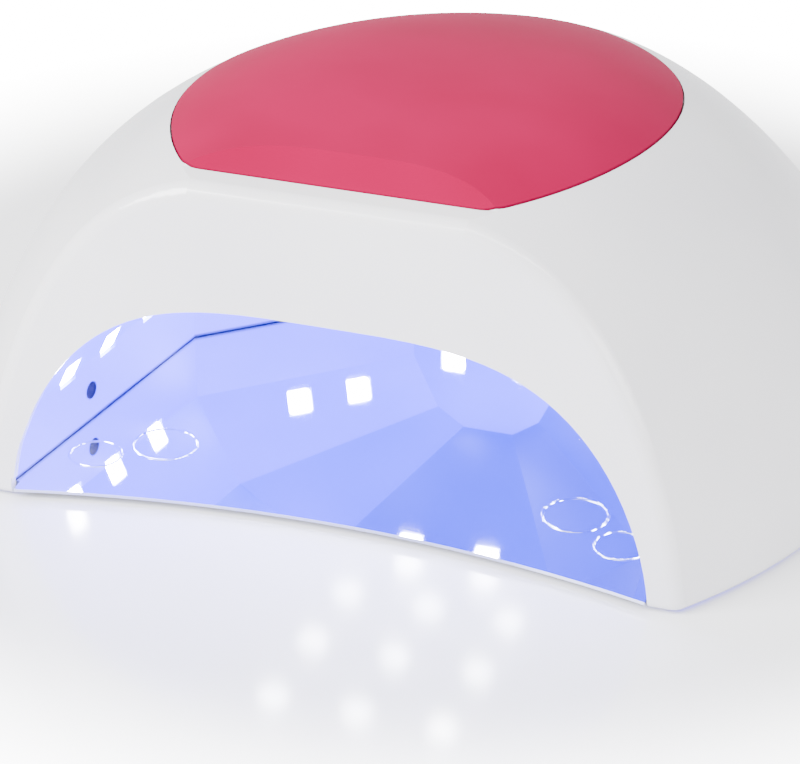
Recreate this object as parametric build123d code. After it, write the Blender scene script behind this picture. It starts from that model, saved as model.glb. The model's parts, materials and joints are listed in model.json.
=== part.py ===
from build123d import *
import math
import os

os.makedirs("parts", exist_ok=True)

# A desk-top UV LED nail lamp. Millimetres, +Z up, origin on the table at the centre of the footprint.
# The open arch faces -Y; the display, buttons and inlet are on the sloping back face (+Y).

# ---- Overall form of the white dome -------------------------------------------------------------
DOME_HALF_WIDTH = 115.0      # plan half-axis along X at the table
DOME_HALF_DEPTH = 133.4      # plan half-axis along Y, before the front and back cuts
DOME_CENTRE_Y = -10.7        # the widest line of the dome
CROWN_TOP = 92.4             # highest point of the crown line
CROWN_TOP_Y = -46.1
CROWN_RADIUS = 282.8         # curve of the crown line from front to back
SECTION_RISE = 1.24          # superellipse exponent along Z of every cross-section
BREADTH_FRONT = 3.53         # superellipse exponent along X, at the front and at the back
BREADTH_BACK = 1.94
SECTION_COUNT = 10
SECTION_STEPS = 28
SECTION_OVERRUN = 8.0        # how far the sections run past the front and back cuts
SHELF_Z = 86.6               # level shelf between the front face and the top panel
FRONT_Y = -100.0
FRONT_LEAN = 3.2             # degrees that the front face leans back
BACK_Y = 100.0
BACK_LEAN = 22.0
RIM_Z = 0.8                  # the shell's rim floats this far above the table
WALL = 2.4
FRONT_RADIUS = 4.0
BACK_RADIUS = 6.0
RIM_RADIUS = 2.0
CUTTER = 400.0               # side of the blocks that trim the dome, larger than the lamp
CUTTER_DEPTH = 100.0
FACE_REACH = 0.05            # an edge this near a trimmed face lies on it

# ---- Arch opening and hand cavity ---------------------------------------------------------------
ARCH_HALF_WIDTH = 78.2
ARCH_HEIGHT = 56.3           # above the rim
ARCH_BREADTH = 3.6           # superellipse exponents along X and along Z
ARCH_RISE = 1.53
ARCH_STEPS = 24
ARCH_FOOT = 10.0             # how far the arch's cutter runs below the table
LINER_WALL = 1.6
LINER_GAP = 0.3              # between the front wall's inner face and the liner

# ---- Base ---------------------------------------------------------------------------------------
TRAY_Z = 1.0                 # underside of the tray
TRAY_THICK = 0.8
TRAY_SET_BACK = 2.5          # tray's edge, in from the mirror plate's edge
MIRROR_THICK = 0.8
FOOT_RADIUS = 5.0
FOOT_RECESS = 0.5
FOOT_GAP = 0.1
FOOT_LIFT = 0.05             # between the foot's top and its recess
FOOT_EDGE = 0.5
BASE_GAP = 0.6               # round the base, inside the shell's rim
BASE_SAGITTA = 10.0          # how far the concave front edge of the base curves in
TONGUE = 24.0                # length of the base's tongue between the arch's legs
SLIVER = 0.01                # a cut starts this far outside, so that it leaves no sliver
LIFT_GAP = 0.2               # liner flange above the mirror plate

# ---- Top panel ----------------------------------------------------------------------------------
PANEL_HALF_WIDTH = 57.6
PANEL_HALF_DEPTH = 85.8
PANEL_CENTRE_Y = -19.2
PANEL_FRONT_Y = -86.0
PANEL_CORNER_RADIUS = 7.0
PANEL_GAP = 0.45
PANEL_SEAT = 2.6             # depth of the seat below the crown
PANEL_BED = 2.0              # wall left under the seat
PANEL_PROUD = 0.2
FACET_LENGTH = 9.5           # from the panel's front edge back to the crease

# ---- Hand cavity: half-outlines (x, z) of the faceted liner at three depths ---------------------
CAVITY_Z = TRAY_Z + TRAY_THICK + MIRROR_THICK + LIFT_GAP
CAVITY_DEPTHS = (FRONT_Y, -13.0, 28.0)
CAVITY_WIDTHS = (79.5, 66.8, 21.0)      # half-width of the upright lower walls
CAVITY_SHOULDERS = (18.0, 20.0, 20.0)   # top of the upright lower walls
HAUNCH = (11.5, 24.0)                   # run and rise of the steep upper facet
EAVE = (24.0, 16.5)                     # run and rise of the shallow facet under the roof
HAUNCH_SHARE = (1.0, 1.0, 0.6)          # the facets shorten towards the back
EAVE_SHARE = (1.0, 1.0, 0.3)

# ---- Lamps --------------------------------------------------------------------------------------
LAMP_SIZE = 6.0
LAMP_THICK = 1.8
LAMP_CORNER = 0.8
WINDOW_GAP = 0.4
BOARD_THICK = 1.2
BOARD_GAP = 0.2
BOARD_SEAT_GAP = 0.4         # round a lamp board, in its flat seat
SIDE_LAMPS = (-72.0, -54.0, -34.0)      # y of each lamp on the side haunch
CORNER_LAMPS = (-44.5, -32.0)           # x of each lamp on the left corner, mirrored to the right
ROOF_LAMP_ROWS = (-76.0, -48.0, -22.0)
ROOF_LAMP_COLUMNS = (-22.0, 0.0, 22.0)
REAR_ROOF_LAMPS = (-10.5, 10.5)
REAR_ROOF_LAMP_INSET = 8.0    # behind the fold between the two roof facets
BACK_LAMPS = (-10.0, 10.0)
BACK_LAMP_Z = 20.0
SENSOR_Y = -61.0
SENSOR_Z = 10.5
SENSOR_RADIUS = 2.2

# ---- Fastening ----------------------------------------------------------------------------------
FLANGE_THICK = 1.6
BOSS_RADIUS = 4.2
BOSS_HEIGHT = 4.4            # from the flange's underside
SCREW_RADIUS = 1.2
SCREW_HEAD_RADIUS = 2.4
SCREW_HEAD = 1.5
SCREW_SLOT = 0.6
SCREW_LENGTH = 10.0
SCREW_GAP = 0.15
LINER_SCREWS = ((90.0, -55.0), (97.0, -8.0), (78.0, 42.0))   # mirrored left and right
MAGNET_RADIUS = 4.0
MAGNET_THICK = 2.0
MAGNET_GAP = 0.1
MAGNETS = ((92.0, -34.0), (50.0, 70.0))                        # mirrored left and right
FOOT_PLACES = ((66.0, -78.0), (88.0, 0.0), (52.0, 66.0))      # mirrored left and right
RINGS = ((66.0, -78.0, 6.3), (52.0, -68.0, 7.8))              # x, y, radius; mirrored
RING_RIDGE = 0.45

# ---- Controls on the back face (local X, and local Y up the slope) ------------------------------
BACK_MIDDLE_Z = 42.0
BUTTON_RADIUS = 4.5
BUTTON_GAP = 0.3
BUTTON_PROUD = 1.2
BUTTON_TRAVEL = 0.5
BUTTON_FLANGE = 1.2
BUTTON_FLANGE_THICK = 0.9
BUTTON_PITCH = 12.6
BUTTON_COUNT = 4
BUTTON_ROW = -7.0
WINDOW_WIDE = 32.0
WINDOW_TALL = 15.0
WINDOW_ROW = 11.0
WINDOW_THICK = 1.4
WINDOW_LEDGE = 1.5
WINDOW_FIT = 0.1
WINDOW_CORNER = 1.0
CONTROL_BOARD = (56.0, 41.0, 1.6)
CONTROL_BOARD_DEPTH = 9.0    # board's outer side, below the wall's inner side
CONTROL_BOARD_ROW = 3.5
CONTROL_SCREWS = (24.0, 17.5)
JACK_Z = 16.0
JACK_HOLE_RADIUS = 3.6
JACK_BODY = (9.0, 11.0, 13.0)
JACK_BORE_RADIUS = 2.9
JACK_PIN_RADIUS = 1.0
JACK_NOSE_RADIUS = 3.4
JACK_RIB = 1.6               # ribs each side of the inlet's body
JACK_RIB_WIDE = 10.0
JACK_RIB_LONG = 10.0

# ---- Driver electronics on the liner's roof -----------------------------------------------------
DRIVER_BOARD = (66.0, 44.0, 1.6)
DRIVER_Z = 67.0
DRIVER_Y = -48.0
DRIVER_SCREWS = (29.0, 18.0)

# ---- Boards and small fixings -------------------------------------------------------------------
SIDE_LAMP_Z = 24.0
CORNER_LAMP_Z = 30.7
SIDE_BOARD_MARGIN = 9.0      # board past the centre of its last lamp
CORNER_BOARD_MARGIN = 9.0
BOARD_TALL = 11.0
ROOF_BOARD = (66.0, 50.0)     # along the roof, across it
REAR_ROOF_BOARD = (9.0, 38.0)
BACK_BOARD = (38.0, 10.0)
BOARD_SCREW_INSET = 3.0
BOARD_SCREW_LENGTH = 2.4
BOARD_SCREW_SKIN = 0.5       # liner left over each board screw's tip, so that no screw shows inside
POST_RADIUS = 2.6
CONTROL_SCREW_LENGTH = 7.0   # of its pilot hole
SCREW_TIP_GAP = 0.5
PANEL_POSTS = ((30.0, -48.0), (32.0, 28.0))                   # mirrored left and right
PANEL_POST_RADIUS = 2.4
PANEL_POST_GAP = 0.2         # round the panel's post
PANEL_LIFT = 0.1             # under the panel, and under its posts
PANEL_POST_ROOT = 1.0        # below the crown, where a post is joined to the panel
PANEL_PAD_RADIUS = 4.2
PANEL_PAD = 1.8
PANEL_SCREW_LENGTH = 4.5
PANEL_SCREW_WALL = 1.6       # shell left under the panel's post
FLANGE_GAP = 0.8
FLANGE_BACK_Y = 76.0
BOSS_GAP = 0.1
DRIVER_POST = 8.0
HEAD_DEPTH = 2.0
DRIVER_SCREW_LENGTH = 5.5
SENSOR_LENGTH = 6.0
SENSOR_BODY_RADIUS = 3.5
SENSOR_GAP = 0.2
MAGNET_SKIN = 0.3            # liner left under each magnet's edge
MAGNET_LIP = 0.5
DRIVER_PILOT = 5.0

# ---- Pieces behind the buttons ------------------------------------------------------------------
BUTTON_FLOAT = 0.2
BUTTON_STEM_RADIUS = 1.5
BUTTON_CROWN = 0.6           # rounding of the cap's edge
SWITCH_SIDE = 6.0
SWITCH_BODY = 3.4
SWITCH_TALL = 4.3            # with its plunger
SWITCH_PLUNGER_RADIUS = 1.7
STEM_GAP = 0.15
DISPLAY_GAP = 0.3
JACK_BORE_DEPTH = 9.0
JACK_GAP = 0.2
JACK_PIN_LENGTH = 8.5
JACK_PIN_CROWN = 0.4
CONTROL_CHIPS = ((-10, 2, 10.0, 7.0, 1.6), (10, 4, 8.0, 5.0, 1.6), (16, -8, 3.2, 10.0, 3.2))
CONTROL_SOCKET = (12.0, 4.5, 5.0)
CONTROL_SOCKET_ROW = 16.0

# ---- Pieces on the driver board: places are from its centre -------------------------------------
DRIVER_CHIP = (5.0, 6.2, 1.7)
DRIVER_CHIPS = ((-16, 13), (0, 13), (16, 13), (-6, -14))
INDUCTOR_RADIUS = 4.6
INDUCTOR_CORE_RADIUS = 3.6
INDUCTOR_TALL = 5.5
INDUCTOR_FLANGE = 1.2
INDUCTORS = ((-18, 2), (-6, 2), (6, 2), (18, 2))
CAPACITOR_RADIUS = 4.0
CAPACITOR_TALL = 8.0
CAPACITOR_CROWN = 0.6
CAPACITORS = ((8, -13), (18, -13))
BUZZER_RADIUS = 6.0
BUZZER_TALL = 6.5
BUZZER_PLACE = (-19, -12)
BUZZER_HOLE_RADIUS = 1.0
BUZZER_HOLE_DEPTH = 1.0
SOCKET = (7.0, 4.0, 4.6)
SOCKETS = ((-30.5, 0, 90), (30.5, 0, 90), (-22, 19.5, 0), (22, 19.5, 0), (-8, 19.5, 0), (8, 19.5, 0))
HEADER = (15.0, 2.5)
HEADER_LIFT = 1.2

# ---- Wire bundles -------------------------------------------------------------------------------
LEAD_RADIUS = 1.1
CONTROL_LEAD_RADIUS = 1.6
POWER_LEAD_RADIUS = 1.4
LEAD_GAP = 0.2               # between a bundle's end and what it plugs into
LEAD_BEND = 0.45             # share of the shorter run that each bend may use

BACK_WALL = WALL * math.cos(math.radians(BACK_LEAN))
JACK_ROW = (JACK_Z - BACK_MIDDLE_Z) / math.cos(math.radians(BACK_LEAN))


def dome_half_width(y):
    """Half-width of the dome at the table, at depth y."""
    return DOME_HALF_WIDTH * math.sqrt(1 - ((y - DOME_CENTRE_Y) / DOME_HALF_DEPTH) ** 2)


def dome_height(y):
    """Height of the crown line at depth y."""
    return CROWN_TOP - (y - CROWN_TOP_Y) ** 2 / (2 * CROWN_RADIUS)


def breadth(y):
    """Exponent of the cross-section along X: squarer at the front, rounder at the back."""
    share = (y - FRONT_Y) / (BACK_Y - FRONT_Y)
    return BREADTH_FRONT + share * (BREADTH_BACK - BREADTH_FRONT)


def crown_height(x, y):
    """Height of the dome's surface over a point of the plan."""
    reach = (abs(x) / dome_half_width(y)) ** breadth(y)
    return dome_height(y) * (1 - reach) ** (1 / SECTION_RISE)


def wall_lean(z):
    """How far the dome's wall has leaned in at height z, where it leans the most."""
    return DOME_HALF_WIDTH * (1 - (1 - (z / CROWN_TOP) ** SECTION_RISE) ** (1 / BREADTH_BACK))


def dome_section(y, inset):
    """One superelliptic cross-section, closed along the table."""
    half_width = dome_half_width(y) - inset
    height = dome_height(y) - inset
    points = []
    for i in range(SECTION_STEPS + 1):
        turn = math.pi * i / SECTION_STEPS
        across = math.copysign(abs(math.cos(turn)) ** (2 / breadth(y)), math.cos(turn))
        points.append((half_width * across, y, height * math.sin(turn) ** (2 / SECTION_RISE)))
    return Wire([Spline(*points), Line(points[-1], points[0])])


def dome_block(inset):
    """The whole dome through its cross-sections, before any cut, brought in by inset."""
    start = FRONT_Y - SECTION_OVERRUN
    step = (BACK_Y + SECTION_OVERRUN - start) / (SECTION_COUNT - 1)
    return Solid.make_loft([dome_section(start + i * step, inset) for i in range(SECTION_COUNT)])


def ahead_of_front(inset):
    """Everything in front of the leaning front face, brought in by inset."""
    space = Box(CUTTER, CUTTER_DEPTH, CUTTER, align=(Align.CENTER, Align.MAX, Align.CENTER))
    return Pos(0, FRONT_Y + inset, RIM_Z) * Rot(-FRONT_LEAN, 0, 0) * space


def behind_back(inset):
    """Everything behind the sloping back face, brought in by inset."""
    space = Box(CUTTER, CUTTER_DEPTH, CUTTER, align=(Align.CENTER, Align.MIN, Align.CENTER))
    return Pos(0, BACK_Y - inset, RIM_Z) * Rot(BACK_LEAN, 0, 0) * space


def above_shelf(drop):
    """Everything above the level shelf and the panel's front facet, lowered by drop."""
    facet_top = crown_height(0, PANEL_FRONT_Y + FACET_LENGTH)
    slope = (facet_top - SHELF_Z) / FACET_LENGTH
    reach = 2 * FACET_LENGTH
    start = FRONT_Y - 2 * SECTION_OVERRUN
    outline = Polyline(
        (start, SHELF_Z - drop),
        (PANEL_FRONT_Y, SHELF_Z - drop),
        (PANEL_FRONT_Y + reach, SHELF_Z - drop + slope * reach),
        (PANEL_FRONT_Y + reach, 2 * CROWN_TOP),
        (start, 2 * CROWN_TOP),
        close=True,
    )
    return extrude(Plane.YZ * make_face(outline), DOME_HALF_WIDTH, both=True)


def on_front(edge, inset):
    """Whether an edge lies on the front face."""
    point = edge @ 0.5
    face_y = FRONT_Y + inset + (point.Z - RIM_Z) * math.tan(math.radians(FRONT_LEAN))
    return abs(point.Y - face_y) < FACE_REACH


def on_back(edge, inset):
    """Whether an edge lies on the back face."""
    point = edge @ 0.5
    face_y = BACK_Y - inset - (point.Z - RIM_Z) * math.tan(math.radians(BACK_LEAN))
    return abs(point.Y - face_y) < FACE_REACH


def dome(inset):
    """The dome's outer form with its cuts, brought in by inset on every side but its open foot."""
    below_rim = Box(CUTTER, CUTTER, CUTTER_DEPTH, align=(Align.CENTER, Align.CENTER, Align.MAX))
    form = dome_block(inset) - Pos(0, 0, RIM_Z) * below_rim
    form = form - ahead_of_front(inset) - behind_back(inset) - above_shelf(inset)
    upper = [edge for edge in form.edges() if (edge @ 0.5).Z > RIM_Z + RIM_RADIUS / 2]
    form = fillet([edge for edge in upper if on_front(edge, inset)], max(FRONT_RADIUS - inset, 1))
    upper = [edge for edge in form.edges() if (edge @ 0.5).Z > RIM_Z + RIM_RADIUS / 2]
    return fillet([edge for edge in upper if on_back(edge, inset)], max(BACK_RADIUS - inset, 1))


def under_top(drop):
    """Everything below the top surface, with its shelf and facet, lowered by drop."""
    return dome_block(drop) - above_shelf(drop)


def panel_outline(grow):
    """Plan of the top panel: an ellipse cut straight across at the front, with rounded corners."""
    oval = Pos(0, PANEL_CENTRE_Y) * Ellipse(PANEL_HALF_WIDTH + grow, PANEL_HALF_DEPTH + grow)
    ahead = Rectangle(CUTTER, CUTTER_DEPTH, align=(Align.CENTER, Align.MAX))
    front = Pos(0, PANEL_FRONT_Y - grow) * ahead
    plan = oval - front
    corners = plan.vertices().sort_by(Axis.Y)[:2]
    return fillet(corners, PANEL_CORNER_RADIUS + grow)


def panel_prism(grow):
    """The panel's plan, run straight up through the dome."""
    return extrude(Pos(0, 0, RIM_Z) * panel_outline(grow), 2 * CROWN_TOP)


def arch_outline():
    """Superelliptic arch, standing on the rim, in the plane facing the front."""
    half_width = ARCH_HALF_WIDTH
    height = ARCH_HEIGHT
    points = []
    for i in range(ARCH_STEPS + 1):
        turn = math.pi * i / ARCH_STEPS
        across = math.copysign(abs(math.cos(turn)) ** (2 / ARCH_BREADTH), math.cos(turn))
        points.append((half_width * across, RIM_Z + height * math.sin(turn) ** (2 / ARCH_RISE)))
    curve = Spline(*points, tangents=[(0, 1), (0, -1)])
    foot = Polyline(points[-1], (-half_width, -ARCH_FOOT), (half_width, -ARCH_FOOT), points[0])
    return make_face(curve + foot)


def arch_prism(depth):
    """The arch run from ahead of the front face to a depth behind it."""
    middle = Plane(origin=(0, FRONT_Y + depth, 0), x_dir=(1, 0, 0), z_dir=(0, -1, 0))
    return extrude(middle * arch_outline(), depth + CUTTER_DEPTH)


def mirrored(places):
    """The same places on the left and on the right."""
    return [(side * place[0],) + tuple(place[1:]) for side in (-1, 1) for place in places]


def back_plane(local_x=0.0, local_y=0.0, local_z=0.0):
    """A plane on the sloping back face: X to its own right, Y up the slope, Z out of the lamp."""
    lean = math.radians(BACK_LEAN)
    y = BACK_Y - (BACK_MIDDLE_Z - RIM_Z) * math.tan(lean)
    face = Plane(origin=(0, y, BACK_MIDDLE_Z), x_dir=(-1, 0, 0), z_dir=(0, math.cos(lean), math.sin(lean)))
    return face * Pos(local_x, local_y, local_z)


def rod(radius, length):
    """A round bar that starts at the local origin and runs along +Z."""
    return Cylinder(radius, length, align=(Align.CENTER, Align.CENTER, Align.MIN))


def plate(width, depth, thick):
    """A flat block centred on the local origin, running up along +Z."""
    return Box(width, depth, thick, align=(Align.CENTER, Align.CENTER, Align.MIN))


def save(shape, node):
    """Write a node's solids to its own file."""
    pieces = shape if isinstance(shape, list) else [shape]
    solids = [solid for piece in pieces for solid in piece.solids()]
    body = solids[0] if len(solids) == 1 else Compound(children=solids)
    body.label = node
    export_step(body, f"parts/{node}.step")


# ---- Cavity facets ------------------------------------------------------------------------------


def miter(first, second):
    """Unit offset of the corner between two runs, for a wall of even thickness outside them."""
    normals = [Vector(run[1], -run[0], 0).normalized() for run in (first, second)]
    return (normals[0] + normals[1]) / (1 + normals[0].dot(normals[1]))


def cavity_corners(station, grow):
    """Half-outline of the cavity at one of its three depths, from the floor up to the roof."""
    haunch = HAUNCH_SHARE[station]
    eave = EAVE_SHARE[station]
    runs = [
        (0.0, CAVITY_SHOULDERS[station] - CAVITY_Z),
        (-HAUNCH[0] * haunch, HAUNCH[1] * haunch),
        (-EAVE[0] * eave, EAVE[1] * eave),
        (-1.0, 0.0),
    ]
    x, z = CAVITY_WIDTHS[station], CAVITY_Z
    corners = [(x + grow, z)]
    for run, after in zip(runs, runs[1:]):
        x, z = x + run[0], z + run[1]
        shift = miter(run, after) * grow
        corners.append((x + shift.X, z + shift.Y))
    return corners


def cavity_space(grow):
    """The faceted hand space; grow thickens it to the liner's outer side."""
    spans = []
    for near, far in ((0, 1), (1, 2)):
        rings = []
        for station in (near, far):
            half = cavity_corners(station, grow)
            loop = half + [(-x, z) for x, z in reversed(half)]
            depth = CAVITY_DEPTHS[station] + (grow if station == 2 else 0)
            ring = Wire.make_polygon([Vector(x, depth, z) for x, z in loop], close=True)
            rings.append(ring)
        spans.append(Solid.make_loft(rings, ruled=True))
    return spans[0] + spans[1]


def facet_plane(corner_a, corner_b, corner_c, centre):
    """Plane of a facet: X runs from corner a to corner c, and Z points into the hand space."""
    a, b, c = Vector(*corner_a), Vector(*corner_b), Vector(*corner_c)
    normal = (b - a).cross(c - a).normalized()
    inside = Vector(0, (CAVITY_DEPTHS[0] + CAVITY_DEPTHS[1]) / 2, CAVITY_SHOULDERS[1])
    if normal.dot(inside - a) < 0:
        normal = -normal
    start = Vector(*centre)
    start = start - normal * (start - a).dot(normal)
    return Plane(origin=start, x_dir=(c - a).normalized(), z_dir=normal)


def corner_at(station, level, side):
    """One corner of the cavity: station counts from the front, level from the floor."""
    x, z = cavity_corners(station, 0)[level]
    return (side * x, CAVITY_DEPTHS[station], z)


def side_plane(side):
    """The steep facet beside the hand, on the left (-1) or right (+1)."""
    low, high = corner_at(0, 1, side), corner_at(0, 2, side)
    middle_y = (CAVITY_DEPTHS[0] + CAVITY_DEPTHS[1]) / 2
    return facet_plane(low, high, corner_at(1, 1, side), (low[0], middle_y, SIDE_LAMP_Z))


def rear_corner_plane(side):
    """The facet that turns the corner between the side and the back, on the left or right."""
    low, high = corner_at(1, 1, side), corner_at(1, 2, side)
    middle_y = (CAVITY_DEPTHS[1] + CAVITY_DEPTHS[2]) / 2
    centre = (low[0] + (high[0] - low[0]) / 2, middle_y, CORNER_LAMP_Z)
    return facet_plane(low, high, corner_at(2, 1, side), centre)


def front_roof_plane():
    """The level roof over the hand."""
    near, far = corner_at(0, 3, 1), corner_at(1, 3, 1)
    middle_y = (near[1] + far[1]) / 2
    return facet_plane((0, near[1], near[2]), near, (0, far[1], far[2]), (0, middle_y, near[2]))


def rear_roof_plane():
    """The roof facet that slopes down to the back wall."""
    near, far = corner_at(1, 3, 1), corner_at(2, 3, 1)
    start = (0, near[1] + REAR_ROOF_LAMP_INSET, near[2])
    return facet_plane((0, near[1], near[2]), near, (0, far[1], far[2]), start)


def back_wall_plane():
    """The upright wall at the back of the hand space."""
    return Plane(origin=(0, CAVITY_DEPTHS[2], BACK_LAMP_Z), x_dir=(1, 0, 0), z_dir=(0, -1, 0))


def on_plane(plane, point):
    """Local place of the foot of a point on a plane."""
    local = plane.to_local_coords(Vector(*point))
    return (local.X, local.Y)


# ---- Lamp groups --------------------------------------------------------------------------------


def lamp_groups():
    """Each board's node name, its facet plane, its size and its lamps' places on the plane."""
    groups = []
    for side, name in ((-1, "left"), (1, "right")):
        plane = side_plane(side)
        places = [((y - plane.origin.Y) / plane.x_dir.Y, 0) for y in SIDE_LAMPS]
        middle = (places[0][0] + places[-1][0]) / 2
        length = abs(places[-1][0] - places[0][0]) + 2 * SIDE_BOARD_MARGIN
        groups.append((f"{name}_side", plane, (middle, 0), (length, BOARD_TALL), places))
        plane = rear_corner_plane(side)
        places = [((side * abs(x) - plane.origin.X) / plane.x_dir.X, 0) for x in CORNER_LAMPS]
        middle = (places[0][0] + places[-1][0]) / 2
        length = abs(places[-1][0] - places[0][0]) + 2 * CORNER_BOARD_MARGIN
        groups.append((f"{name}_corner", plane, (middle, 0), (length, BOARD_TALL), places))
    plane = front_roof_plane()
    places = [on_plane(plane, (x, y, plane.origin.Z)) for x in ROOF_LAMP_COLUMNS for y in ROOF_LAMP_ROWS]
    middle = on_plane(plane, (0, (ROOF_LAMP_ROWS[0] + ROOF_LAMP_ROWS[-1]) / 2, plane.origin.Z))
    groups.append(("roof", plane, middle, ROOF_BOARD, places))
    plane = rear_roof_plane()
    places = [on_plane(plane, (x, plane.origin.Y, plane.origin.Z)) for x in REAR_ROOF_LAMPS]
    groups.append(("rear_roof", plane, (0, 0), REAR_ROOF_BOARD, places))
    plane = back_wall_plane()
    groups.append(("back", plane, (0, 0), BACK_BOARD, [(x, 0) for x in BACK_LAMPS]))
    return groups


def lamp_shape():
    """One square lamp: the package sits on the board and its lens fills the window."""
    body = plate(LAMP_SIZE, LAMP_SIZE, LAMP_THICK)
    return fillet(body.edges().filter_by(Axis.Z), LAMP_CORNER)


def lamps(plane, places):
    """The lamps of one board, each on its own place."""
    seat = -(LINER_WALL + BOARD_GAP)
    return [plane * Pos(u, v, seat) * lamp_shape() for u, v in places]


def lamp_windows(plane, places):
    """Square holes through the liner, one round each lamp."""
    size = LAMP_SIZE + 2 * WINDOW_GAP
    return [plane * Pos(u, v, -2 * LINER_WALL) * plate(size, size, 4 * LINER_WALL) for u, v in places]


def lamp_board(plane, middle, size):
    """Thin aluminium-core board behind the facet."""
    depth = LINER_WALL + BOARD_GAP + BOARD_THICK
    board = plane * Pos(middle[0], middle[1], -depth) * plate(size[0], size[1], BOARD_THICK)
    for u, v in board_screw_places(middle, size):
        board = board - plane * Pos(u, v, -depth) * rod(SCREW_RADIUS + SCREW_GAP, BOARD_THICK)
    return board


def board_seat(plane, middle, size):
    """Flat seat that the board lies on, cleared out of the liner's outer side."""
    seat = plate(size[0] + 2 * BOARD_SEAT_GAP, size[1] + 2 * BOARD_SEAT_GAP, 4 * BOARD_THICK)
    return plane * Pos(middle[0], middle[1], -LINER_WALL - 4 * BOARD_THICK) * seat


def board_screws():
    """The short screws that hold every lamp board to the liner."""
    depth = LINER_WALL + BOARD_GAP + BOARD_THICK
    screws = []
    for name, plane, middle, size, places in lamp_groups():
        for u, v in board_screw_places(middle, size):
            screws.append(plane * Pos(u, v, -depth) * screw(BOARD_SCREW_LENGTH))
    return screws


def board_screw_places(middle, size):
    """Two screws on a strip's long centre line, or four on the roof board between its lamps."""
    reach, aside = size[0] / 2 - BOARD_SCREW_INSET, 0
    if size == ROOF_BOARD:
        aside = ROOF_LAMP_COLUMNS[-1] / 2
    elif size[1] > size[0]:
        reach, aside = 0, size[1] / 2 - BOARD_SCREW_INSET
    return sorted({(middle[0] + u, middle[1] + v) for u in (-reach, reach) for v in (-aside, aside)})


# ---- Base ---------------------------------------------------------------------------------------


def base_outline(grow):
    """Plan of the removable base: it fills the shell's foot and runs out between the arch's legs."""
    inset = WALL + BASE_GAP + wall_lean(CAVITY_Z) - grow
    oval = Pos(0, DOME_CENTRE_Y) * Ellipse(DOME_HALF_WIDTH - inset, DOME_HALF_DEPTH - inset)
    front_y, back_y = FRONT_Y + inset, BACK_Y - inset
    band = Pos(0, (front_y + back_y) / 2) * Rectangle(4 * DOME_HALF_WIDTH, back_y - front_y)
    half_tongue = ARCH_HALF_WIDTH - BASE_GAP + grow
    tip_y = FRONT_Y - grow
    tongue = Pos(0, tip_y) * Rectangle(2 * half_tongue, TONGUE, align=(Align.CENTER, Align.MIN))
    plan = (oval & band) + tongue
    chord = (-half_tongue, tip_y - SLIVER), (half_tongue, tip_y - SLIVER)
    bow = ThreePointArc(chord[0], (0, tip_y + BASE_SAGITTA), chord[1])
    return plan - make_face(bow + Line(chord[1], chord[0]))


def base_tray():
    """Thin tray under the mirror plate, recessed for the feet."""
    tray = extrude(Pos(0, 0, TRAY_Z) * base_outline(-TRAY_SET_BACK), TRAY_THICK)
    for x, y in mirrored(FOOT_PLACES):
        tray = tray - Pos(x, y, TRAY_Z) * rod(FOOT_RADIUS + FOOT_GAP, FOOT_RECESS)
    return tray


def mirror_plate():
    """Polished plate on the tray, with a raised ring for each finger rest."""
    floor_z = TRAY_Z + TRAY_THICK
    sheet = extrude(Pos(0, 0, floor_z) * base_outline(0), MIRROR_THICK)
    for x, y, radius in mirrored(RINGS):
        ridge = Pos(x, y, floor_z + MIRROR_THICK - RING_RIDGE / 2) * Torus(radius, RING_RIDGE)
        sheet = sheet + (ridge & Pos(x, y, floor_z + MIRROR_THICK / 2) * rod(radius + 2, 2))
    return sheet


def base_feet():
    """Soft round feet, let into the tray."""
    height = TRAY_Z + FOOT_RECESS - FOOT_LIFT
    pad = rod(FOOT_RADIUS, height)
    pad = fillet(pad.edges().sort_by(Axis.Z)[0], FOOT_EDGE)
    return [Pos(x, y, 0) * pad for x, y in mirrored(FOOT_PLACES)]


# ---- Shell --------------------------------------------------------------------------------------


def shell_posts(hollow):
    """Posts that hang from the dome and take the liner's screws."""
    top_of_boss = CAVITY_Z + BOSS_HEIGHT
    posts = []
    for x, y in mirrored(LINER_SCREWS):
        post = Pos(x, y, top_of_boss) * rod(BOSS_RADIUS, 2 * CROWN_TOP)
        posts.append(post & hollow)
    return posts


def control_posts():
    """Posts on the back wall that hold the control board."""
    length = CONTROL_BOARD_DEPTH
    posts = []
    for x in (-CONTROL_SCREWS[0], CONTROL_SCREWS[0]):
        for y in (-CONTROL_SCREWS[1], CONTROL_SCREWS[1]):
            place = back_plane(x, y + CONTROL_BOARD_ROW, -BACK_WALL - length)
            posts.append(place * rod(POST_RADIUS, length + BACK_WALL / 2))
    return posts


def button_places():
    """Middle of each button on the back face."""
    first = -(BUTTON_COUNT - 1) / 2 * BUTTON_PITCH
    return [(first + i * BUTTON_PITCH, BUTTON_ROW) for i in range(BUTTON_COUNT)]


def back_openings():
    """Holes through the back wall for the buttons, the display and the inlet."""
    cuts = []
    for x, y in button_places():
        cuts.append(back_plane(x, y, -3 * WALL) * rod(BUTTON_RADIUS + BUTTON_GAP, 6 * WALL))
    through = (WINDOW_WIDE - 2 * WINDOW_LEDGE, WINDOW_TALL - 2 * WINDOW_LEDGE)
    cuts.append(back_plane(0, WINDOW_ROW, -3 * WALL) * plate(through[0], through[1], 6 * WALL))
    cuts.append(back_plane(0, WINDOW_ROW, -WINDOW_THICK) * plate(WINDOW_WIDE, WINDOW_TALL, 3 * WALL))
    cuts.append(back_plane(0, JACK_ROW, -3 * WALL) * rod(JACK_HOLE_RADIUS, 6 * WALL))
    return cuts


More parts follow.
